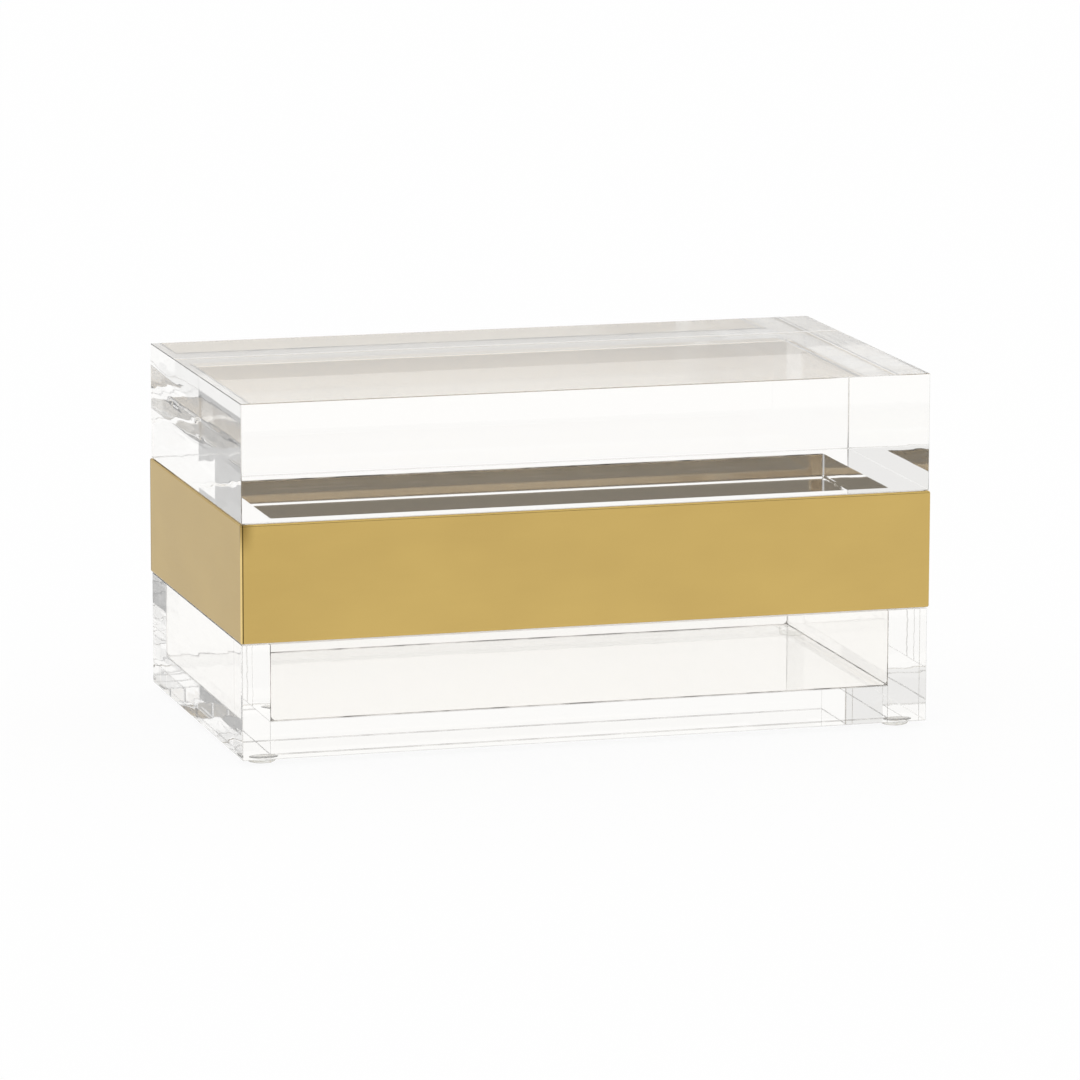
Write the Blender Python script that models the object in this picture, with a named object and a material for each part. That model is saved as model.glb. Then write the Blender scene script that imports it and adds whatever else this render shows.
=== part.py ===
"""A clear acrylic keepsake box with a lift-off block lid and a gold metal band round its upper half.

Metres, +Z up. The origin is under the middle of the box, on the plane that its four feet stand on.
+X runs along the length and the front faces -Y. The lid is at rest on the rim, and lifts along +Z.
"""

import bmesh
import bpy

# Driving dimensions of the box
BOX_LENGTH = 0.254
BOX_DEPTH = 0.1397
WALL_THICKNESS = 0.012
FLOOR_THICKNESS = 0.012
BARE_WALL_HEIGHT = 0.0415

# Metal band, a sleeve that sits on a shoulder cut round the upper half of the walls
BAND_HEIGHT = 0.0425
BAND_THICKNESS = 0.0015
BAND_PROUD = 0.0005
BAND_EDGE_RADIUS = 0.0007
BAND_EDGE_SEGMENTS = 3
BAND_EDGE_SHARE = 0.475

# Lid: a solid block with a locating plug glued under it
LID_THICKNESS = 0.0425
PLUG_DEPTH = 0.0086
PLUG_CLEARANCE = 0.0005

# Clear bumper feet
FOOT_DIAMETER = 0.011
FOOT_PAD_DIAMETER = 0.0085
FOOT_HEIGHT = 0.002
FOOT_EDGE_RADIUS = 0.0003
FOOT_INSET = 0.009
FOOT_SIDES = 48

# Clearances and finish
GLUE_GAP = 0.0003
SEAT_GAP = 0.0003
EDGE_BREAK = 0.0003
CUTTER_OVERRUN = 0.002
SMOOTH_ANGLE = 0.6

# Heights worked out from the sizes above
WALL_BASE = FOOT_HEIGHT + GLUE_GAP
SHOULDER = WALL_BASE + BARE_WALL_HEIGHT
RIM = SHOULDER + SEAT_GAP + BAND_HEIGHT
LID_UNDERSIDE = RIM + SEAT_GAP
PLUG_TOP = LID_UNDERSIDE - GLUE_GAP

# Plan sizes worked out from the sizes above
CAVITY_LENGTH = BOX_LENGTH - 2 * WALL_THICKNESS
CAVITY_DEPTH = BOX_DEPTH - 2 * WALL_THICKNESS
REBATE = BAND_THICKNESS - BAND_PROUD + SEAT_GAP

ACRYLIC_COLOUR = "f4f6f5"
GOLD_COLOUR = "c6a966"
BUMPER_COLOUR = "eef0ef"


def clear_scene():
    for obj in list(bpy.data.objects):
        bpy.data.objects.remove(obj, do_unlink=True)


def linear(hex_colour):
    """Linear RGBA of an sRGB hex colour."""
    channels = [int(hex_colour[i : i + 2], 16) / 255 for i in (0, 2, 4)]
    return [((c + 0.055) / 1.055) ** 2.4 if c > 0.04045 else c / 12.92 for c in channels] + [1.0]


def principled(name, hex_colour, roughness, metallic=0.0, transmission=0.0):
    """A material of its own for one sub-part."""
    material = bpy.data.materials.new(name)
    material.use_nodes = True
    shader = material.node_tree.nodes["Principled BSDF"]
    shader.inputs["Base Color"].default_value = linear(hex_colour)
    shader.inputs["Roughness"].default_value = roughness
    shader.inputs["Metallic"].default_value = metallic
    shader.inputs["Transmission Weight"].default_value = transmission
    shader.inputs["IOR"].default_value = 1.49
    return material


def acrylic(name):
    return principled(name, ACRYLIC_COLOUR, roughness=0.02, transmission=1.0)


def gold_metal(name):
    return principled(name, GOLD_COLOUR, roughness=0.3, metallic=1.0)


def clear_bumper(name):
    return principled(name, BUMPER_COLOUR, roughness=0.15, transmission=0.9)


def add_object(name, mesh_source, place, material):
    """Turns a finished bmesh into a named object at its place."""
    mesh = bpy.data.meshes.new(name)
    bmesh.ops.recalc_face_normals(mesh_source, faces=mesh_source.faces)
    mesh_source.to_mesh(mesh)
    mesh_source.free()
    obj = bpy.data.objects.new(name, mesh)
    obj.location = place
    if material is not None:
        mesh.materials.append(material)
    bpy.context.scene.collection.objects.link(obj)
    return obj


def break_edges(obj, width, segments=1):
    """Takes the sharpness off every square edge."""
    bevel = obj.modifiers.new("edge_break", "BEVEL")
    bevel.width = width
    bevel.segments = segments
    bevel.limit_method = "ANGLE"


def box(name, length, depth, low, high, material, x=0.0, y=0.0):
    """A rectangular block between two heights, centred on x and y."""
    block = bmesh.new()
    bmesh.ops.create_cube(block, size=1.0)
    bmesh.ops.scale(block, vec=(length, depth, high - low), verts=block.verts)
    return add_object(name, block, (x, y, (low + high) / 2), material)


def rectangle(source, length, depth, z):
    corners = ((-1, -1), (1, -1), (1, 1), (-1, 1))
    return [source.verts.new((sx * length / 2, sy * depth / 2, z)) for sx, sy in corners]


def sleeve(name, outer, inner, low, high, material):
    """A rectangular tube that stands up; outer and inner are (length, depth) pairs."""
    tube = bmesh.new()
    rise = high - low
    loops = [rectangle(tube, *plan, z) for plan, z in ((outer, 0.0), (outer, rise), (inner, rise), (inner, 0.0))]
    for loop, following in zip(loops, loops[1:] + loops[:1]):
        for i in range(4):
            j = (i + 1) % 4
            tube.faces.new((loop[i], loop[j], following[j], following[i]))
    return add_object(name, tube, (0.0, 0.0, low), material)


def make_band_seat_cutter():
    """The ring of space that the band needs, taken out of the upper half of every wall."""
    outer = (BOX_LENGTH + 2 * CUTTER_OVERRUN, BOX_DEPTH + 2 * CUTTER_OVERRUN)
    inner = (BOX_LENGTH - 2 * REBATE, BOX_DEPTH - 2 * REBATE)
    cutter = sleeve("band_seat_cutter", outer, inner, SHOULDER, RIM + CUTTER_OVERRUN, None)
    cutter.hide_render = True
    cutter.display_type = "WIRE"
    return cutter


def make_wall(name, length, depth, seat_cutter, x=0.0, y=0.0):
    """An acrylic wall from the underside of the box to its rim, stepped back where the band goes."""
    wall = box(name, length, depth, WALL_BASE, RIM, acrylic(name + "_acrylic"), x, y)
    rebate = wall.modifiers.new("band_seat", "BOOLEAN")
    rebate.operation = "DIFFERENCE"
    rebate.object = seat_cutter
    break_edges(wall, EDGE_BREAK)
    return wall


def make_walls():
    """The front and back run the full length; the ends are glued between them."""
    cutter = make_band_seat_cutter()
    long_wall_y = (BOX_DEPTH - WALL_THICKNESS) / 2
    end_wall_x = (BOX_LENGTH - WALL_THICKNESS) / 2
    end_wall_depth = CAVITY_DEPTH - 2 * GLUE_GAP
    make_wall("wall_front", BOX_LENGTH, WALL_THICKNESS, cutter, y=-long_wall_y)
    make_wall("wall_back", BOX_LENGTH, WALL_THICKNESS, cutter, y=long_wall_y)
    make_wall("wall_left", WALL_THICKNESS, end_wall_depth, cutter, x=-end_wall_x)
    make_wall("wall_right", WALL_THICKNESS, end_wall_depth, cutter, x=end_wall_x)


def make_floor():
    """The bottom plate, glued between the four walls and flush with their undersides."""
    length = CAVITY_LENGTH - 2 * GLUE_GAP
    depth = CAVITY_DEPTH - 2 * GLUE_GAP
    top = WALL_BASE + FLOOR_THICKNESS
    floor = box("floor_plate", length, depth, WALL_BASE, top, acrylic("floor_acrylic"))
    break_edges(floor, EDGE_BREAK)


def make_band():
    """A thin folded metal sleeve, a little proud of the acrylic, its edges softened."""
    outer = (BOX_LENGTH + 2 * BAND_PROUD, BOX_DEPTH + 2 * BAND_PROUD)
    inner = (outer[0] - 2 * BAND_THICKNESS, outer[1] - 2 * BAND_THICKNESS)
    low = SHOULDER + SEAT_GAP
    band = sleeve("metal_band", outer, inner, low, low + BAND_HEIGHT, gold_metal("band_gold"))
    break_edges(band, min(BAND_EDGE_RADIUS, BAND_THICKNESS * BAND_EDGE_SHARE), BAND_EDGE_SEGMENTS)
    band.data.shade_smooth()
    band.data.set_sharp_from_angle(angle=SMOOTH_ANGLE)


def make_lid():
    """The block that covers the box, and the plug under it that keeps it in place on the rim."""
    top = LID_UNDERSIDE + LID_THICKNESS
    block = box("lid_block", BOX_LENGTH, BOX_DEPTH, LID_UNDERSIDE, top, acrylic("lid_acrylic"))
    break_edges(block, EDGE_BREAK)
    length = CAVITY_LENGTH - 2 * PLUG_CLEARANCE
    depth = CAVITY_DEPTH - 2 * PLUG_CLEARANCE
    plug = box("lid_plug", length, depth, PLUG_TOP - PLUG_DEPTH, PLUG_TOP, acrylic("plug_acrylic"))
    break_edges(plug, EDGE_BREAK)


def make_foot(name, x, y):
    """A low round bumper, wider where it is stuck to the box than where it stands."""
    bumper = bmesh.new()
    bmesh.ops.create_cone(
        bumper,
        cap_ends=True,
        segments=FOOT_SIDES,
        radius1=FOOT_PAD_DIAMETER / 2,
        radius2=FOOT_DIAMETER / 2,
        depth=FOOT_HEIGHT,
    )
    foot = add_object(name, bumper, (x, y, FOOT_HEIGHT / 2), clear_bumper(name + "_bumper"))
    break_edges(foot, FOOT_EDGE_RADIUS, 2)
    foot.data.shade_smooth()
    foot.data.set_sharp_from_angle(angle=SMOOTH_ANGLE)


def make_feet():
    x = BOX_LENGTH / 2 - FOOT_INSET
    y = BOX_DEPTH / 2 - FOOT_INSET
    for end, along in (("front", -1), ("back", 1)):
        for side, across in (("left", -1), ("right", 1)):
            make_foot(f"foot_{end}_{side}", across * x, along * y)


def main():
    clear_scene()
    make_feet()
    make_floor()
    make_walls()
    make_band()
    make_lid()


main()
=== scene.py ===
# %% [markdown]
# # A clear acrylic keepsake box with a gold band
# The box is made of thick clear sheet, and nearly everything the eye sees in it is bent light: the far
# edges, the joints and the inner side of the metal band all show through the front. So the lesson is
# mostly about solid, continuous clear bodies, clean edges and a calm white studio.

# %% Load the frame and measure it
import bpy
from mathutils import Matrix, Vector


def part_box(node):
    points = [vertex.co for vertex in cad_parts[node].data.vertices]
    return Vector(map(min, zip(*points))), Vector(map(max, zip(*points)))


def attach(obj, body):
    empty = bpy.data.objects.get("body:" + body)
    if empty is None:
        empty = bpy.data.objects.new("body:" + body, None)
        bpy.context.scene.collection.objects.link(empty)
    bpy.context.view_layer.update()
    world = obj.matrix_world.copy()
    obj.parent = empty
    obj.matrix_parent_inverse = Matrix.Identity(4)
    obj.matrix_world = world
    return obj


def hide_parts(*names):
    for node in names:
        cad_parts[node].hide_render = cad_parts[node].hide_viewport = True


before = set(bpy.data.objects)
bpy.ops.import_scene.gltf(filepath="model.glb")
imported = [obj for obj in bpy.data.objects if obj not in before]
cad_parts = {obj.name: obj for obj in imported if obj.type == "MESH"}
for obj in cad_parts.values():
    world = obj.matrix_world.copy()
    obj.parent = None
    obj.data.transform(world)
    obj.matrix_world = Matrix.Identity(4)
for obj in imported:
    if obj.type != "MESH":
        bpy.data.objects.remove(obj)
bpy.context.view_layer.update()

import math
import bmesh
import bpy
from mathutils import Matrix, Vector

MM = 0.001
scene = bpy.context.scene

# %% [markdown]
# ## The camera
# The photograph was taken from far off with a long lens, a little above the lid and to the left of the
# front, so the upright edges stay parallel. A lens of 225 mm at 2.46 m gives the same perspective. The
# camera is turned by its three axes: to the right, up, and back towards the photographer.

# %% Camera
def photo_camera(azimuth, elevation, roll, place, lens):
    """A camera looking down at the box from the front; the angles are in degrees."""
    az, el, turn = (math.radians(a) for a in (azimuth, elevation, roll))
    ahead = Vector((math.sin(az) * math.cos(el), math.cos(az) * math.cos(el), -math.sin(el)))
    right = Vector((math.cos(az), -math.sin(az), 0.0))
    up = right.cross(ahead)
    across = math.cos(turn) * right + math.sin(turn) * up
    upward = math.cos(turn) * up - math.sin(turn) * right
    bpy.ops.object.camera_add(location=place)
    camera = bpy.context.object
    camera.name = "photo_camera"
    turned = Matrix((across, upward, -ahead)).transposed()
    camera.matrix_world = Matrix.Translation(place) @ turned.to_4x4()
    camera.data.sensor_width = 36.0
    camera.data.lens = lens
    camera.data.clip_end = 50.0
    return camera


CAMERA_PLACE = Vector((-0.6727, -2.3177, 0.5189))
BOX_MIDDLE = Vector((0, 0, 0.065))
scene.camera = photo_camera(azimuth=16.228, elevation=10.714, roll=0.16, place=CAMERA_PLACE, lens=224.6)
print("camera is", round((CAMERA_PLACE - BOX_MIDDLE).length, 3), "m from the box")

# %% [markdown]
# ## Working by hand in code
# A modelling operator works on whatever is selected, so each step first clears the selection. Most
# pieces start as a plain block between two corners, with the material slots that they will need.

# %% A block to start from
def deselect_all():
    if bpy.context.object and bpy.context.object.mode != "OBJECT":
        bpy.ops.object.mode_set(mode="OBJECT")
    bpy.ops.object.select_all(action="DESELECT")


def start_block(name, low, high, slots=2):
    """A cube stretched between two corners, with empty material slots, left in edit mode."""
    deselect_all()
    centre = [(a + b) / 2 for a, b in zip(low, high)]
    sides = [b - a for a, b in zip(low, high)]
    bpy.ops.mesh.primitive_cube_add(size=1.0, location=centre, scale=sides)
    block = bpy.context.object
    block.name = block.data.name = name
    bpy.ops.object.transform_apply(location=True, rotation=True, scale=True)
    for _ in range(slots):
        bpy.ops.object.material_slot_add()
    bpy.ops.object.mode_set(mode="EDIT")
    return block

# %% [markdown]
# Faces, edges and points are then picked by where they lie or which way they face, as one would click
# on them. Two places less than a hundredth of a millimetre apart count as the same.

# %% Picking
NEAR = 0.01 * MM


def pick(kind, test):
    """Selects only the FACEs, EDGEs or VERTs for which the test is true."""
    bpy.ops.mesh.select_mode(type=kind)
    bpy.ops.mesh.select_all(action="DESELECT")
    mesh = bmesh.from_edit_mesh(bpy.context.object.data)
    parts = {"FACE": mesh.faces, "EDGE": mesh.edges, "VERT": mesh.verts}[kind]
    picked = [part for part in parts if test(part)]
    for part in picked:
        part.select_set(True)
    mesh.select_flush_mode()
    bmesh.update_edit_mesh(bpy.context.object.data)
    return len(picked)


def same(a, b):
    return abs(a - b) < NEAR


def level(face):
    """True for a face that looks straight up or down."""
    return abs(face.normal.z) > 0.9


def level_face(z):
    """True for a level face at this height."""
    return lambda face: level(face) and same(face.calc_center_median().z, z)

# %% [markdown]
# ## Sizes taken from the solids
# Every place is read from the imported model, so the pieces sit exactly where the solids are. Only the
# thickness of the metal and the small gaps that the solids leave for glue can't be read from a box.

# %% Sizes
lid_low, lid_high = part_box("lid_block")
plug_low, plug_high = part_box("lid_plug")
wall_low, wall_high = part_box("wall_front")
band_low, band_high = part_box("metal_band")
floor_low, floor_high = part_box("floor_plate")

SHEET = 1.5 * MM
GLUE_GAP = 0.3 * MM
HALF_LENGTH, HALF_DEPTH = lid_high.x, lid_high.y
UNDERSIDE = wall_low.z
RIM = wall_high.z
CAVITY_FLOOR = floor_high.z
SHOULDER = band_low.z - GLUE_GAP
WALL = wall_high.y - wall_low.y
PLUG_INSET = HALF_LENGTH - plug_high.x
REBATE = band_low.x + SHEET + HALF_LENGTH + GLUE_GAP
for label, size in (("wall", WALL), ("plug inset", PLUG_INSET), ("rebate", REBATE)):
    print(label, round(size / MM, 2), "mm")

# %% [markdown]
# ## The clear base
# The real base is four walls and a floor of 12 mm cast acrylic. Solvent glue melts the plates into each
# other, so light runs through the joints as if there were none. Five separate blocks with air between
# them would fill the box with mirrors, so the base is modelled as one clear body. It starts as the
# lower block; its top is inset and drawn up inside the band, then inset again and pushed down to make
# the cavity.

# %% Base body
def slide_up(distance):
    bpy.ops.mesh.extrude_region_move(TRANSFORM_OT_translate={"value": (0, 0, distance)})


base = start_block(
    "base_acrylic", (-HALF_LENGTH, -HALF_DEPTH, UNDERSIDE), (HALF_LENGTH, HALF_DEPTH, SHOULDER)
)
pick("FACE", level_face(SHOULDER))
bpy.ops.mesh.inset(thickness=REBATE, use_even_offset=True)
slide_up(RIM - SHOULDER)
bpy.ops.mesh.inset(thickness=WALL - REBATE, use_even_offset=True)
slide_up(CAVITY_FLOOR - RIM)
print("cavity is", round((RIM - CAVITY_FLOOR) / MM, 1), "mm deep")

# %% [markdown]
# Edges are softened with a bevel whose width is asked for edge by edge, so one call can round some edges
# widely, others hardly and leave the rest square. Each edge's share of the widest is its bevel weight.

# %% Bevel by weight
def sharp(edge):
    """True where two faces meet at more than about 30 degrees."""
    return len(edge.link_faces) == 2 and edge.calc_face_angle() > 0.5


def round_edges(block, segments, width_of, slot=-1):
    """Bevels the edges, each by its own width; the new faces may get a material slot of their own."""
    mesh = bmesh.from_edit_mesh(block.data)
    layers = mesh.edges.layers.float
    weights = layers.get("bevel_weight_edge") or layers.new("bevel_weight_edge")
    widths = {edge: width_of(edge) for edge in mesh.edges}
    widest = max(widths.values())
    for edge, width in widths.items():
        edge[weights] = width / widest
    bmesh.update_edit_mesh(block.data)
    bpy.ops.object.mode_set(mode="OBJECT")
    bevel = block.modifiers.new("rounded_edges", "BEVEL")
    bevel.limit_method = "WEIGHT"
    bevel.width = widest
    bevel.segments = segments
    bevel.material = slot
    bpy.ops.object.modifier_apply(modifier=bevel.name)
    faces = len(block.data.polygons)
    print(block.name, "has", faces, "faces, widest edge", round(widest / MM, 2), "mm")

# %% [markdown]
# The sharp outer edges of each plate are scraped to a narrow flat, an arris, so that nobody is cut.
# It isn't polished afterwards, so every edge draws a thin grey line. It gets its own material slot. The
# edges are scraped before the fine glue lines are cut: a bevel is narrowed to what its shortest
# neighbour allows, and next to a groove of a tenth of a millimetre nothing would be left of it.

# %% Scraped edges of the base
ARRIS = 0.25 * MM
NEARLY_SQUARE = 1.2


def arris_width(edge):
    """Only outward corners of about 90 degrees are scraped; the limit is in radians."""
    return ARRIS if sharp(edge) and edge.calc_face_angle_signed() > NEARLY_SQUARE else 0.0


round_edges(base, segments=1, width_of=arris_width, slot=1)
bpy.ops.object.mode_set(mode="EDIT")

# %% [markdown]
# Where two plates meet, the glue line still shows from outside as a hair-fine upright line 12 mm from
# each corner of the end faces. A bisect cuts the faces there and a narrow bevel turns the cut into a
# shallow groove.

# %% Glue lines on the ends
JOINT_Y = HALF_DEPTH - WALL - GLUE_GAP / 2
END_GROOVE_HALF = 0.12 * MM
END_GROOVE_DEPTH = 0.1 * MM
CUT_REACH = 0.001 * MM


def cut_all(place, normal):
    """Cuts all faces along a plane; points nearer to it than the reach are used, not doubled."""
    bpy.ops.mesh.select_all(action="SELECT")
    bpy.ops.mesh.bisect(plane_co=place, plane_no=normal, threshold=CUT_REACH)


def rise(edge):
    """How far an edge climbs."""
    return abs(edge.verts[0].co.z - edge.verts[1].co.z)


def on_end_joint(edge):
    at_joint = all(
        same(abs(v.co.x), HALF_LENGTH) and same(abs(v.co.y), JOINT_Y) for v in edge.verts
    )
    return at_joint and rise(edge) > 10 * MM


for y in (-JOINT_Y, JOINT_Y):
    cut_all((0, y, 0), (0, 1, 0))
print("glue lines:", pick("EDGE", on_end_joint))
bpy.ops.mesh.bevel(offset=END_GROOVE_HALF, segments=2, affect="EDGES", material=1)
pick("EDGE", on_end_joint)
inward = (HALF_LENGTH - END_GROOVE_DEPTH) / HALF_LENGTH
bpy.ops.transform.resize(value=(inward, 1, 1), center_override=(0, 0, 0))

# %% [markdown]
# The same joints end at the rim, where they show through the lid as short lines across the corners.

# %% Glue lines on the rim
RIM_GROOVE_HALF = 0.15 * MM
RIM_GROOVE_DEPTH = 0.12 * MM


def on_rim_joint(edge):
    a, b = (v.co for v in edge.verts)
    over_the_wall = same(a.y, b.y) and min(abs(a.x), abs(b.x)) > HALF_LENGTH - WALL - NEAR
    return over_the_wall and same(abs(a.y), JOINT_Y) and min(a.z, b.z) > RIM - NEAR


print("rim lines:", pick("EDGE", on_rim_joint))
bpy.ops.mesh.bevel(offset=RIM_GROOVE_HALF, segments=2, affect="EDGES", material=1)
pick("EDGE", on_rim_joint)
bpy.ops.transform.translate(value=(0, 0, -RIM_GROOVE_DEPTH))

# %% [markdown]
# ## Glue beads
# Where the walls stand on the floor and meet in the corners, the glue squeezed out and dried as a thin
# bead. From outside it is the crisp dark line round the cavity. A block that fills the cavity is turned
# into a frame of thin bars by a wireframe modifier, and its top is cut off level with the shoulder that
# carries the band. A hair of air is left between bead and wall, so that no two faces lie in one place.

# %% Bead round the cavity
BEAD = 0.4 * MM
AIR = 0.01 * MM


def leave_bars(block, thickness, offset=0.0):
    """Turns a block into bars along its edges; an offset of -1 keeps them inside the block."""
    bpy.ops.object.mode_set(mode="OBJECT")
    bars = block.modifiers.new("bars", "WIREFRAME")
    bars.thickness = thickness
    bars.offset = offset
    bars.use_even_offset = True
    bpy.ops.object.modifier_apply(modifier=bars.name)


cavity = Vector((HALF_LENGTH - WALL - AIR, HALF_DEPTH - WALL - AIR, 0))
beads = start_block(
    "glue_beads",
    (-cavity.x, -cavity.y, CAVITY_FLOOR + AIR),
    (cavity.x, cavity.y, RIM + 5 * MM),
    slots=1,
)
leave_bars(beads, BEAD, offset=-1.0)
bpy.ops.object.mode_set(mode="EDIT")
bpy.ops.mesh.select_all(action="SELECT")
bpy.ops.mesh.bisect(
    plane_co=(0, 0, SHOULDER), plane_no=(0, 0, 1), clear_outer=True, use_fill=True
)

# %% [markdown]
# The glue pooled in the four lower corners. The bars are cut a little way from each corner and the
# points at the corner itself are pulled apart, which gives each corner a small solid drop.

# %% Drops in the corners
POOL = 1.6 * MM
DROP_REACH = 0.9 * MM
DROP_GROWTH = 2.6
for centre, normal in (
    ((-cavity.x + POOL, 0, 0), (1, 0, 0)),
    ((cavity.x - POOL, 0, 0), (1, 0, 0)),
    ((0, -cavity.y + POOL, 0), (0, 1, 0)),
    ((0, cavity.y - POOL, 0), (0, 1, 0)),
    ((0, 0, CAVITY_FLOOR + POOL), (0, 0, 1)),
):
    cut_all(centre, normal)
for x in (-cavity.x, cavity.x):
    for y in (-cavity.y, cavity.y):
        corner = Vector((x, y, CAVITY_FLOOR + AIR))
        pick("VERT", lambda vert: (vert.co - corner).length < DROP_REACH)
        bpy.ops.transform.resize(value=(DROP_GROWTH,) * 3, center_override=corner)
bpy.ops.object.mode_set(mode="OBJECT")
print("beads, mm:", [[round(v / MM, 2) for v in beads.bound_box[corner]] for corner in (0, 6)])

# %% [markdown]
# The floor plate is glued in between the walls, so its glue lines run inside the clear body: four short
# upright ones in the corners, and one all round below and above. They are a second, finer frame, and
# give the fine lines that the photograph shows in the bottom slab. The frame stays a hair inside both
# surfaces: deeper in, each line would be seen twice, once straight and once mirrored.

# %% Glue lines round the floor plate
THREAD = 0.14 * MM
inner = Vector((HALF_LENGTH - WALL, HALF_DEPTH - WALL, 0))
threads = start_block(
    "floor_glue_lines",
    (-inner.x, -inner.y, UNDERSIDE + THREAD),
    (inner.x, inner.y, CAVITY_FLOOR - THREAD),
    slots=1,
)
leave_bars(threads, THREAD)
print("glue lines round the floor:", len(threads.data.polygons), "faces")

# %% [markdown]
# ## The lid
# The lid is a solid block with a thinner plate glued under it. The glue leaves no air, so the block and
# the plug are one clear body: a block whose underside is inset and drawn down. The plug's corners are
# sanded round, so that it finds its way into the box.

# %% Lid body
PLUG_BOTTOM = plug_low.z
PLUG_CORNER = 1.0 * MM
CORNER_SEGMENTS = 12
lid = start_block("lid_acrylic", lid_low, lid_high)
pick("FACE", level_face(lid_low.z))
bpy.ops.mesh.inset(thickness=PLUG_INSET, use_even_offset=True)
slide_up(PLUG_BOTTOM - lid_low.z)


def plug_corner_width(edge):
    upright = rise(edge) > 5 * MM and all(v.co.z < lid_low.z + NEAR for v in edge.verts)
    return PLUG_CORNER if upright else 0.0


round_edges(lid, CORNER_SEGMENTS, plug_corner_width)

# %% [markdown]
# The plug's lower edge is rounded by polishing: that small radius catches the light as the bright line
# which runs round the lid in the photograph. Then the outer edges of the block are scraped.

# %% Edges of the lid
PLUG_POLISH = 1.0 * MM


def plug_foot_width(edge):
    lowest = sharp(edge) and all(v.co.z < PLUG_BOTTOM + NEAR for v in edge.verts)
    return PLUG_POLISH if lowest else 0.0


bpy.ops.object.mode_set(mode="EDIT")
round_edges(lid, segments=6, width_of=plug_foot_width)
bpy.ops.object.mode_set(mode="EDIT")
round_edges(lid, segments=1, width_of=arris_width, slot=1)

# %% [markdown]
# The glue squeezed out round the top of the plug as well. It dried in the corner under the block, as a
# flat ring with the plug's outline, and shows through the lid as the dark line above the metal. A low
# block gets round corners, then its top and bottom are inset and bridged, which opens it to a ring.

# %% Bead round the plug
RING_WIDTH = 0.25 * MM
RING_HEIGHT = 0.45 * MM
RING_OPENING = 0.01
ring = start_block(
    "plug_glue_bead",
    (plug_low.x - RING_WIDTH, plug_low.y - RING_WIDTH, lid_low.z - RING_HEIGHT),
    (plug_high.x + RING_WIDTH, plug_high.y + RING_WIDTH, lid_low.z - AIR),
    slots=1,
)
round_edges(ring, CORNER_SEGMENTS, lambda edge: PLUG_CORNER if rise(edge) > NEAR else 0.0)
bpy.ops.object.mode_set(mode="EDIT")
pick("FACE", level)
bpy.ops.mesh.inset(thickness=RING_WIDTH - AIR, use_even_offset=True, use_individual=True)
pick("FACE", lambda face: level(face) and face.calc_area() > RING_OPENING)
bpy.ops.mesh.bridge_edge_loops()
bpy.ops.object.mode_set(mode="OBJECT")
print("the ring has", len(ring.data.polygons), "faces")

# %% [markdown]
# ## The gold band
# The band is a sleeve of 1.5 mm sheet metal, finished gold outside and left plain and silvery inside,
# where it shows through the lid. It starts as a block; its top and bottom are inset by the sheet's
# thickness and bridged to open it. Its long edges are rounded most, its corners a little less, and the
# edges inside are nearly sharp.

# %% Band body
LONG_EDGE = 0.7 * MM
CORNER_EDGE = 0.5 * MM
INSIDE_EDGE = 0.15 * MM
band = start_block("gold_band", band_low, band_high, slots=3)
pick("FACE", level)
bpy.ops.mesh.inset(thickness=SHEET, use_even_offset=True, use_individual=True)
inner_x, inner_y = band_high.x - SHEET, band_high.y - SHEET
pick("FACE", lambda face: level(face) and max(abs(v.co.x) for v in face.verts) < inner_x + NEAR)
bpy.ops.mesh.bridge_edge_loops()


def band_edge_width(edge):
    if not sharp(edge):
        return 0.0
    point = edge.verts[0].co
    outside = same(abs(point.x), band_high.x) or same(abs(point.y), band_high.y)
    if not outside:
        return INSIDE_EDGE
    return LONG_EDGE if rise(edge) < NEAR else CORNER_EDGE


round_edges(band, segments=4, width_of=band_edge_width)

# %% [markdown]
# The inner side gets its own material slot, picked by where its faces lie.

# %% Inner side of the band
INSIDE_MARGIN = 0.1 * MM


def inner_side(face):
    centre = face.calc_center_median()
    return abs(centre.x) < inner_x + INSIDE_MARGIN and abs(centre.y) < inner_y + INSIDE_MARGIN


bpy.ops.object.mode_set(mode="EDIT")
print("inner faces:", pick("FACE", inner_side))
band.active_material_index = 1
bpy.ops.object.material_slot_assign()

# %% [markdown]
# The sleeve is four strips soldered at the corners. Each strip covers the end of the next one, so each
# side of the box has one fine dark seam, at the left as one faces it. Three cuts mark the sides and the
# middle of a seam, and the middle is pushed in.

# %% Soldered seams
SEAM_INSET = 0.85 * MM
SEAM_HALF = 0.17 * MM
SEAM_DEPTH = 0.15 * MM
STRIP_DEPTH = 0.8 * MM
ALONG_X, ALONG_Y = 0, 1


def make_seam(along, end, side):
    """A seam near one end of a strip that runs along this axis, on this side of the box."""
    across = 1 - along
    middle = end * (band_high[along] - SEAM_INSET)

    def on_strip(point):
        return side * point[across] > band_high[across] - STRIP_DEPTH

    def in_seam(face):
        centre = face.calc_center_median()
        return abs(centre[along] - middle) < SEAM_HALF and on_strip(centre)

    for offset in (-SEAM_HALF, 0.0, SEAM_HALF):
        cut, normal = Vector((0, 0, 0)), Vector((0, 0, 0))
        cut[along], normal[along] = middle + offset, 1.0
        pick("FACE", lambda face: on_strip(face.calc_center_median()))
        bpy.ops.mesh.bisect(plane_co=cut, plane_no=normal, threshold=CUT_REACH)
    pick("EDGE", lambda edge: all(same(v.co[along], middle) and on_strip(v.co) for v in edge.verts))
    push = Vector((0, 0, 0))
    push[across] = -side * SEAM_DEPTH
    bpy.ops.transform.translate(value=push)
    print("seam faces:", pick("FACE", in_seam))
    band.active_material_index = 2
    bpy.ops.object.material_slot_assign()


for along, end, side in ((ALONG_X, -1, -1), (ALONG_Y, -1, 1), (ALONG_X, 1, 1), (ALONG_Y, 1, -1)):
    make_seam(along, end, side)

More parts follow.
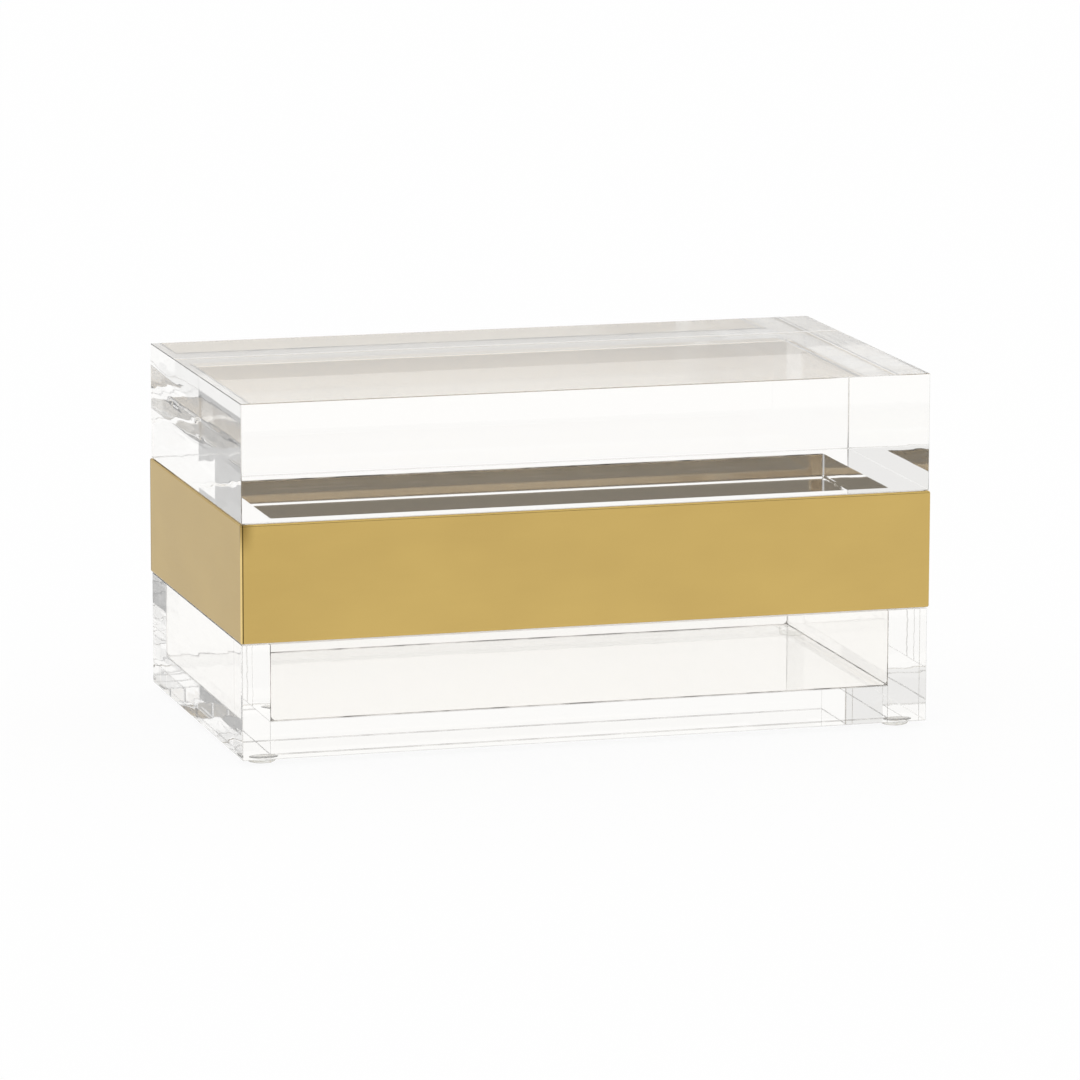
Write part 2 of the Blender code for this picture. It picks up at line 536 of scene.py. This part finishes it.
# %% [markdown]
# The rounded edges are shaded smooth, and weighted normals keep the flat faces flat up to them.

# %% Shading of the band
bpy.ops.object.mode_set(mode="OBJECT")
bpy.ops.object.shade_smooth_by_angle(angle=math.radians(40))
keep_flat = band.modifiers.new("flat_faces_stay_flat", "WEIGHTED_NORMAL")
keep_flat.keep_sharp = True
bpy.ops.object.modifier_apply(modifier=keep_flat.name)

# %% [markdown]
# ## The bumper feet
# The box stands on four clear self-adhesive bumpers, low discs with a rounded lower edge. One is turned
# from a cylinder: its lower face is drawn in and the edge rounded. Its adhesive leaves no air under the
# box, so the disc reaches a hair into the clear body, and that makes it show through the front.

# %% One foot
FEET = ("foot_front_left", "foot_front_right", "foot_back_left", "foot_back_right")
ADHESIVE_BITE = 0.04 * MM
DRAWN_IN = 0.92
FOOT_ROUNDING = 0.7 * MM
PAD_ROUNDING = 0.15 * MM
foot_low, foot_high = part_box(FEET[0])
foot_top = UNDERSIDE + ADHESIVE_BITE
foot_x, foot_y = (foot_low.x + foot_high.x) / 2, (foot_low.y + foot_high.y) / 2


def foot_edge_width(edge):
    if all(v.co.z < foot_low.z + NEAR for v in edge.verts):
        return FOOT_ROUNDING
    return PAD_ROUNDING if sharp(edge) else 0.0


deselect_all()
bpy.ops.mesh.primitive_cylinder_add(
    vertices=64,
    radius=(foot_high.x - foot_low.x) / 2,
    depth=foot_top - foot_low.z,
    location=(foot_x, foot_y, (foot_low.z + foot_top) / 2),
)
first_foot = bpy.context.object
first_foot.name = first_foot.data.name = FEET[0] + "_bumper"
bpy.ops.object.transform_apply(location=True, rotation=True, scale=True)
bpy.ops.object.mode_set(mode="EDIT")
pick("FACE", level_face(foot_low.z))
bpy.ops.transform.resize(
    value=(DRAWN_IN, DRAWN_IN, 1), center_override=(foot_x, foot_y, foot_low.z)
)
round_edges(first_foot, segments=4, width_of=foot_edge_width)
bpy.ops.object.shade_smooth_by_angle(angle=math.radians(50))

# %% [markdown]
# The other three are copies of the first, each with a mesh of its own, moved to where the solids are.

# %% Three copies
feet = [first_foot]
for name in FEET[1:]:
    deselect_all()
    first_foot.select_set(True)
    bpy.context.view_layer.objects.active = first_foot
    bpy.ops.object.duplicate(linked=False)
    copy = bpy.context.object
    copy.name = copy.data.name = name + "_bumper"
    bpy.ops.transform.translate(value=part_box(name)[0] - foot_low)
    bpy.ops.object.transform_apply(location=True, rotation=True, scale=True)
    feet.append(copy)
print("feet:", [foot.name for foot in feet])

# %% [markdown]
# ## Materials
# Colours are written as sRGB hex, as read off a swatch, and turned to the linear values that the shader
# wants. One helper adds a node, sets its inputs and links it, and another gives a colour ramp's two ends
# their colours. Patterns read the piece's own coordinates in metres, so a scale of 100 means features
# of about 10 mm.

# %% Material helpers
def linear(hex_colour):
    channels = [int(hex_colour[i : i + 2], 16) / 255 for i in (0, 2, 4)]
    return [((c + 0.055) / 1.055) ** 2.4 if c > 0.04045 else c / 12.92 for c in channels] + [1.0]


def add_node(tree, kind, settings=None, inputs=None):
    """Adds one node; an input that is another node's output is linked, anything else is a value."""
    node = tree.nodes.new(kind)
    for key, value in (settings or {}).items():
        setattr(node, key, value)
    for key, value in (inputs or {}).items():
        if isinstance(value, bpy.types.NodeSocket):
            tree.links.new(value, node.inputs[key])
        else:
            node.inputs[key].default_value = value
    return node


def set_ends(ramp_node, *ends):
    """Sets the place and the sRGB hex colour of a ramp's ends, and returns its colour output."""
    for element, (position, hex_colour) in zip(ramp_node.color_ramp.elements, ends):
        element.position, element.color = position, linear(hex_colour)
    return ramp_node.outputs["Color"]


def new_material(name, inputs):
    material = bpy.data.materials.new(name)
    material.use_nodes = True
    shader = material.node_tree.nodes["Principled BSDF"]
    for key, value in inputs.items():
        shader.inputs[key].default_value = value
    return material, material.node_tree, shader

# %% [markdown]
# Some looks depend on the place: a darker arris at the lid's corners, painted shade and a painted
# highlight beside the seams of the band, painted shade near the rim inside it, a darker part of the
# room. A soft step turns a coordinate into a mask, masks are multiplied, and a mask says how far a
# colour is toned.

# %% Helpers for masks
def place_axes(tree, size=False):
    """The three object coordinates, or their sizes without the sign."""
    place = add_node(tree, "ShaderNodeTexCoord").outputs["Object"]
    if size:
        absolute = add_node(tree, "ShaderNodeVectorMath", {"operation": "ABSOLUTE"}, {0: place})
        place = absolute.outputs[0]
    return add_node(tree, "ShaderNodeSeparateXYZ", None, {"Vector": place}).outputs


def soft_step(tree, value, start, end):
    """0 before start and 1 after end, with a soft change between."""
    step = add_node(
        tree, "ShaderNodeMapRange", {"interpolation_type": "SMOOTHSTEP"},
        {"Value": value, "From Min": start, "From Max": end, "To Min": 0.0, "To Max": 1.0},
    )
    return step.outputs["Result"]


def both(tree, *masks):
    """The product of the masks."""
    product = masks[0]
    for mask in masks[1:]:
        times = add_node(tree, "ShaderNodeMath", {"operation": "MULTIPLY"}, {0: product, 1: mask})
        product = times.outputs[0]
    return product


def toned(tree, colour, amount, tone):
    """The colour multiplied by a tone, darker or lighter, as far as the amount says."""
    mix = add_node(
        tree, "ShaderNodeMix", {"data_type": "RGBA", "blend_type": "MULTIPLY"},
        {0: amount, 6: colour, 7: tone},
    )
    return mix.outputs[2]

# %% [markdown]
# ### Cast acrylic, polished
# Cast PMMA sheet is water clear, with an index of 1.49. Its faces look as flat as glass, but they aren't
# quite. The ends show the buffed cut of the saw: flat waves about 7 mm high and 60 mm long, at most a
# few hundredths of a millimetre deep. They are much weaker on the top and weakest on the long walls. A
# bump with a noise stretched to that size gives them, since nothing of them shows in the outline.

# %% Polished acrylic
WAVES_PER_METRE = (9.0, 16.0, 150.0)
WAVE_HEIGHT = 0.12 * MM
ACRYLIC_IOR = 1.49


def polish_waves(tree, shader):
    """Shallow waves: a share of the wave height that depends on the way a face looks."""
    place = add_node(tree, "ShaderNodeTexCoord")
    facing = add_node(tree, "ShaderNodeSeparateXYZ", None, {"Vector": place.outputs["Normal"]})
    share = 0.05
    for axis, deepest in (("X", 0.5), ("Z", 0.12)):
        towards = add_node(tree, "ShaderNodeMath", {"operation": "ABSOLUTE"}, {0: facing.outputs[axis]})
        more = add_node(
            tree, "ShaderNodeMapRange", None,
            {"Value": towards.outputs[0], "From Min": 0.5, "To Max": deepest},
        )
        total = add_node(tree, "ShaderNodeMath", {"operation": "ADD"}, {0: share, 1: more.outputs[0]})
        share = total.outputs[0]
    stretched = add_node(
        tree, "ShaderNodeMapping", None, {"Vector": place.outputs["Object"], "Scale": WAVES_PER_METRE}
    )
    waves = add_node(
        tree, "ShaderNodeTexNoise", None, {"Vector": stretched.outputs[0], "Scale": 1.0, "Detail": 1.5}
    )
    height = add_node(tree, "ShaderNodeMath", {"operation": "MULTIPLY"}, {0: waves.outputs[0], 1: share})
    bump = add_node(
        tree, "ShaderNodeBump", None,
        {"Height": height.outputs[0], "Strength": 1.0, "Distance": WAVE_HEIGHT},
    )
    tree.links.new(bump.outputs["Normal"], shader.inputs["Normal"])


clear, tree, shader = new_material(
    "cast_acrylic_polished",
    {"Base Color": linear("fffefc"), "Roughness": 0.0, "IOR": ACRYLIC_IOR, "Transmission Weight": 1.0},
)
polish_waves(tree, shader)

# %% [markdown]
# ### Cast acrylic, scraped
# A scraper tears the edge a little, so the light is spread and part of it is lost: the arris is hazy and
# light grey. Its real marks are hundredths of a millimetre, too fine to show, so they are drawn about 1
# mm long. Just above the band, at the lid's four corners, the arris is made darker towards its lower
# end.

# %% Scraped acrylic
DARK_CORNER_REACH = 4 * MM
DARK_CORNER_HEIGHT = 9 * MM


def scraped_acrylic():
    material, tree, shader = new_material(
        "cast_acrylic_scraped_edge", {"IOR": ACRYLIC_IOR, "Transmission Weight": 1.0}
    )
    place = add_node(tree, "ShaderNodeTexCoord").outputs["Object"]
    marks = add_node(tree, "ShaderNodeTexNoise", None, {"Vector": place, "Scale": 900.0}).outputs[0]
    haze = add_node(tree, "ShaderNodeMapRange", None, {"Value": marks, "To Min": 0.12, "To Max": 0.28})
    tree.links.new(haze.outputs[0], shader.inputs["Roughness"])
    ramp = add_node(tree, "ShaderNodeValToRGB", None, {"Fac": marks})
    grey = set_ends(ramp, (0.3, "c4c1bc"), (0.7, "d9d6d2"))
    size = place_axes(tree, size=True)
    # The arris is darkened at the lid's four corners, most just above the band.
    low_corner_darkening = both(
        tree,
        soft_step(tree, size["X"], HALF_LENGTH - DARK_CORNER_REACH, HALF_LENGTH),
        soft_step(tree, size["Y"], HALF_DEPTH - DARK_CORNER_REACH, HALF_DEPTH),
        soft_step(tree, size["Z"], lid_low.z - 1 * MM, lid_low.z),
        soft_step(tree, size["Z"], lid_low.z + DARK_CORNER_HEIGHT, lid_low.z + 1 * MM),
    )
    colour = toned(tree, grey, low_corner_darkening, (0.12, 0.11, 0.1, 1.0))
    tree.links.new(colour, shader.inputs["Base Color"])
    return material


scraped = scraped_acrylic()
for piece in (base, lid):
    piece.material_slots[0].material = clear
    piece.material_slots[1].material = scraped
    scraped_faces = sum(face.material_index for face in piece.data.polygons)
    print(piece.name, "has", scraped_faces, "scraped faces")

# %% [markdown]
# ### Dried glue
# Acrylic cement dries clear, but it holds tiny bubbles and dust, so the bead looks brown-grey in some
# places and nearly vanishes in others, changing about every 10 mm. The film that stayed between the
# floor plate and the walls is thinner than the beads that were squeezed out, so it is the paler one.

# %% Glue
def dried_glue(name, dark, light):
    material, tree, shader = new_material(
        name, {"Roughness": 0.35, "IOR": ACRYLIC_IOR, "Transmission Weight": 1.0}
    )
    place = add_node(tree, "ShaderNodeTexCoord").outputs["Object"]
    bubbles = add_node(tree, "ShaderNodeTexNoise", None, {"Vector": place, "Scale": 90.0, "Detail": 3.0})
    ramp = add_node(tree, "ShaderNodeValToRGB", None, {"Fac": bubbles.outputs[0]})
    tree.links.new(set_ends(ramp, (0.38, dark), (0.58, light)), shader.inputs["Base Color"])
    return material


bead_glue = dried_glue("acrylic_cement_bead", "5f5851", "f1eeea")
film_glue = dried_glue("acrylic_cement_film", "938d86", "f5f3f0")
for piece, glue in ((beads, bead_glue), (ring, bead_glue), (threads, film_glue)):
    piece.material_slots[0].material = glue
    print(piece.name, "is", glue.name)

# %% [markdown]
# ### Gold-toned steel, satin outside and plain inside
# The sleeve is steel, plated in a pale gold outside and rubbed along its length. Rubbing gives it soft
# reflections and fine lines. The real lines are under a tenth of a millimetre apart; here they are
# 0.4 mm apart and 17 mm long, as fine as the render can show. A tone that changes over 25 to 45 mm
# keeps the metal from looking like paint. Both sides of the sleeve are made by this one function.

# %% Rubbed metal
CLOUDS_PER_METRE = (22.0, 22.0, 40.0)
LINES_PER_METRE = (60.0, 60.0, 2500.0)
ROUGHNESS_SPREAD = 0.03


def rubbed_metal(name, dark, light, edge_tint, roughness, depth):
    """Metal between two close tones, with fine lines along its length; its colour isn't linked yet."""
    material, tree, shader = new_material(name, {"Metallic": 1.0, "Specular Tint": edge_tint})
    place = add_node(tree, "ShaderNodeTexCoord").outputs["Object"]
    noises = []
    for per_metre in (CLOUDS_PER_METRE, LINES_PER_METRE):
        scaled = add_node(tree, "ShaderNodeMapping", None, {"Vector": place, "Scale": per_metre})
        noise = add_node(
            tree, "ShaderNodeTexNoise", None, {"Vector": scaled.outputs[0], "Scale": 1.0, "Detail": 2.0}
        )
        noises.append(noise.outputs["Fac"])
    cloud, lines = noises
    ramp = add_node(tree, "ShaderNodeValToRGB", None, {"Fac": cloud})
    colour = set_ends(ramp, (0.35, dark), (0.65, light))
    bump = add_node(tree, "ShaderNodeBump", None, {"Height": lines, "Strength": 1.0, "Distance": depth})
    tree.links.new(bump.outputs["Normal"], shader.inputs["Normal"])
    smoothest, roughest = roughness - ROUGHNESS_SPREAD, roughness + ROUGHNESS_SPREAD
    spread = add_node(
        tree, "ShaderNodeMapRange", None, {"Value": lines, "To Min": smoothest, "To Max": roughest}
    )
    tree.links.new(spread.outputs["Result"], shader.inputs["Roughness"])
    return material, tree, shader, colour

# %% [markdown]
# Each seam is at the left end of its side. The product of x and y is positive there and negative at the
# right end, so one mask serves all four sides. Beside the top of a seam the gold is painted darker, a
# painted shade, and the corner next to it is painted lighter, a painted highlight.

# %% Gold outside
def gold_plated_steel():
    material, tree, shader, colour = rubbed_metal(
        "gold_plated_steel_satin", "cfb16a", "d4b66d",
        edge_tint=(0.75, 0.75, 0.75, 1.0), roughness=0.25, depth=0.002 * MM,
    )
    size, place = place_axes(tree, size=True), place_axes(tree)
    left_end = soft_step(tree, both(tree, place["X"], place["Y"]), 0.0, 0.001)
    # Painted shade: the gold is darkened beside the top of each seam.
    dull_and_painted_shade = both(
        tree,
        left_end,
        soft_step(tree, size["X"], band_high.x - 6 * MM, band_high.x),
        soft_step(tree, size["Y"], band_high.y - 2 * MM, band_high.y - 0.5 * MM),
        soft_step(tree, size["Z"], band_high.z - 13 * MM, band_high.z),
    )
    colour = toned(tree, colour, dull_and_painted_shade, (0.5, 0.46, 0.38, 1.0))
    # Painted highlight: the corner by each seam is made lighter than the gold.
    painted_corner_highlight = both(
        tree,
        left_end,
        soft_step(tree, size["X"], band_high.x - 0.7 * MM, band_high.x - 0.4 * MM),
        soft_step(tree, size["Y"], band_high.y - 0.7 * MM, band_high.y - 0.4 * MM),
    )
    colour = toned(tree, colour, painted_corner_highlight, (1.4, 1.5, 2.0, 1.0))
    tree.links.new(colour, shader.inputs["Base Color"])
    return material


band.material_slots[0].material = gold_plated_steel()
print("outside of the band:", band.material_slots[0].material.name)

# %% [markdown]
# The inner side was never plated. It is a smoother, slightly yellow steel. Its upper 14 mm are painted
# darker, a painted shade, fading out over the last few.

# %% Plain steel inside
def bare_steel():
    material, tree, shader, colour = rubbed_metal(
        "bare_steel_inside", "dad2c4", "e0d8ca",
        edge_tint=(1.0, 1.0, 1.0, 1.0), roughness=0.12, depth=0.0005 * MM,
    )
    # Painted shade: the steel is darkened near the rim.
    painted_shade_near_rim = soft_step(tree, place_axes(tree)["Z"], RIM - 17 * MM, RIM - 11 * MM)
    tree.links.new(toned(tree, colour, painted_shade_near_rim, (0.74, 0.7, 0.62, 1.0)), shader.inputs["Base Color"])
    return material


band.material_slots[1].material = bare_steel()
print("inside of the band:", band.material_slots[1].material.name)

# %% [markdown]
# Soft solder fills the seams. It has darkened with age, and its skin is duller in places, in spots of
# two or three millimetres.

# %% Solder
def darkened_solder():
    material, tree, shader = new_material(
        "soft_solder_darkened", {"Base Color": linear("5f4d29"), "Metallic": 1.0}
    )
    place = add_node(tree, "ShaderNodeTexCoord").outputs["Object"]
    skin = add_node(tree, "ShaderNodeTexNoise", None, {"Vector": place, "Scale": 400.0}).outputs["Fac"]
    dull_and_painted_shade = add_node(tree, "ShaderNodeMapRange", None, {"Value": skin, "To Min": 0.35, "To Max": 0.65})
    tree.links.new(dull_and_painted_shade.outputs["Result"], shader.inputs["Roughness"])
    return material


band.material_slots[2].material = darkened_solder()
print("seams:", band.material_slots[2].material.name)

# %% [markdown]
# ### Clear polyurethane
# The bumpers are soft clear polyurethane, cast in a drop, a little duller than the acrylic, in spots of
# one or two millimetres. Where its surface is seen at a grazing angle the drop is painted browner, a
# painted shade that draws its dark outline; a layer weight, which knows how steeply a surface is seen,
# mixes the two tones.

# %% Bumpers
def clear_bumper():
    material, tree, shader = new_material(
        "cast_polyurethane_clear", {"IOR": 1.5, "Transmission Weight": 1.0}
    )
    place = add_node(tree, "ShaderNodeTexCoord").outputs["Object"]
    cloud = add_node(tree, "ShaderNodeTexNoise", None, {"Vector": place, "Scale": 600.0}).outputs["Fac"]
    dull_and_painted_shade = add_node(tree, "ShaderNodeMapRange", None, {"Value": cloud, "To Min": 0.04, "To Max": 0.14})
    tree.links.new(dull_and_painted_shade.outputs["Result"], shader.inputs["Roughness"])
    # Painted shade: grazing views of the drop are tinted brown.
    steep = add_node(tree, "ShaderNodeLayerWeight", None, {"Blend": 0.35}).outputs["Facing"]
    ramp = add_node(tree, "ShaderNodeValToRGB", None, {"Fac": steep})
    tree.links.new(set_ends(ramp, (0.2, "f2f3f1"), (0.75, "a39c8f")), shader.inputs["Base Color"])
    return material


bumper = clear_bumper()
for foot in feet:
    foot.data.materials.append(bumper)
print("feet are", bumper.name)

# %% [markdown]
# ## Studio
# The box stands on white paper in a white room. Clear acrylic has no colour of its own: it only shows
# what surrounds it. The photograph is lit so that the paper is pure white, with the faintest shadow. So
# most of the paper's own shading is replaced by plain white, both where the camera sees it directly and
# where it is seen through or in the box.

# %% Floor
WHITE_SEEN_DIRECTLY = 0.93
WHITE_SEEN_THROUGH = 0.92


def lift_to_white(tree, shader, directly, through):
    """Mixes plain white in, by how the surface is seen."""
    path = add_node(tree, "ShaderNodeLightPath").outputs
    white = add_node(tree, "ShaderNodeEmission", None, {"Color": (1, 1, 1, 1), "Strength": 1.0})
    bent = add_node(
        tree, "ShaderNodeMath", {"operation": "MAXIMUM"},
        {0: path["Is Transmission Ray"], 1: path["Is Glossy Ray"]},
    ).outputs[0]
    share = add_node(
        tree, "ShaderNodeMath", {"operation": "MAXIMUM"},
        {0: both(tree, bent, through), 1: both(tree, path["Is Camera Ray"], directly)},
    ).outputs[0]
    mix = add_node(
        tree, "ShaderNodeMixShader", None, {0: share, 1: shader.outputs[0], 2: white.outputs[0]}
    )
    tree.links.new(mix.outputs[0], tree.nodes["Material Output"].inputs["Surface"])


deselect_all()
bpy.ops.mesh.primitive_plane_add(size=12.0, location=(0, 0, 0))
floor = bpy.context.object
floor.name = floor.data.name = "studio_floor"
paper, tree, shader = new_material(
    "white_paper", {"Base Color": linear("ffffff"), "Roughness": 0.9, "Specular IOR Level": 0.0}
)
lift_to_white(tree, shader, WHITE_SEEN_DIRECTLY, WHITE_SEEN_THROUGH)
floor.data.materials.append(paper)
print("the paper is", round(floor.dimensions.x, 1), "m wide")

# %% [markdown]
# The room is white above the box. The photographer's side, low in front of the box, and the left are
# darker, and that is what draws the grey strips inside the lid. A patch behind, a little to the left, is
# very slightly grey. The greys are linear values, and the steps are parts of the direction looked in.

# %% Room
FRONT_GREY = 0.31
SIDE_GREY = 0.45
BEHIND_GREY = 0.85
world = bpy.data.worlds.new("white_room")
scene.world = world
world.use_nodes = True
tree = world.node_tree
direction = add_node(tree, "ShaderNodeTexCoord").outputs["Generated"]
axes = add_node(tree, "ShaderNodeSeparateXYZ", None, {"Vector": direction}).outputs
low = soft_step(tree, axes["Z"], 0.55, 0.35)
front = soft_step(tree, axes["Y"], -0.45, -0.75)
left = soft_step(tree, axes["X"], -0.6, -0.9)
behind = both(tree, soft_step(tree, axes["Y"], 0.75, 0.88), soft_step(tree, axes["X"], -0.08, -0.2))
colour = (1.0, 1.0, 1.0, 1.0)
for side, grey in ((front, FRONT_GREY), (left, SIDE_GREY), (behind, BEHIND_GREY)):
    mix = add_node(
        tree, "ShaderNodeMix", {"data_type": "RGBA"},
        {0: both(tree, side, low), 6: colour, 7: (grey, grey, grey, 1.0)},
    )
    colour = mix.outputs[2]
light = tree.nodes["Background"]
tree.links.new(colour, light.inputs["Color"])
light.inputs["Strength"].default_value = 1.0
print("greys of the room:", FRONT_GREY, SIDE_GREY, BEHIND_GREY)

# %% [markdown]
# ## What moves and what stays
# Only the lid comes off, with the bead of glue round its plug; everything else stays with the base.
# The solids that each piece stands for are hidden. The beads and glue lines stand for none: the solids
# leave a gap where glue is.

# %% Put the pieces on their bodies
PLATES = ("wall_front", "wall_back", "wall_left", "wall_right", "floor_plate")
for piece, nodes, body, slot in (
    (base, PLATES, "base", "clear_acrylic"),
    (lid, ("lid_block", "lid_plug"), "lid", "clear_acrylic"),
    (band, ("metal_band",), "base", "gold_metal"),
    (beads, (), "base", "clear_acrylic"),
    (threads, (), "base", "clear_acrylic"),
    (ring, (), "lid", "clear_acrylic"),
):
    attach(piece, body)
    if nodes:
        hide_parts(*nodes)
    print(piece.name, "rides on", body)
for foot, name in zip(feet, FEET):
    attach(foot, "base")
    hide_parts(name)

# %% [markdown]
# ## How long a ray of light is followed
# Inside a clear block a ray is thrown from face to face a dozen times before it comes out. Blender
# follows only four reflections and twelve bends unless told otherwise, and paints black where it stops,
# so the limits are raised.

# %% Light paths
BOUNCES = 32
for limit in ("max_bounces", "glossy_bounces", "transmission_bounces"):
    setattr(scene.cycles, limit, BOUNCES)

# %% [markdown]
# ## Last settings
# Plain colour, without a film look, keeps the white paper white.

# %% Colour and the end
scene.view_settings.view_transform = "Standard"
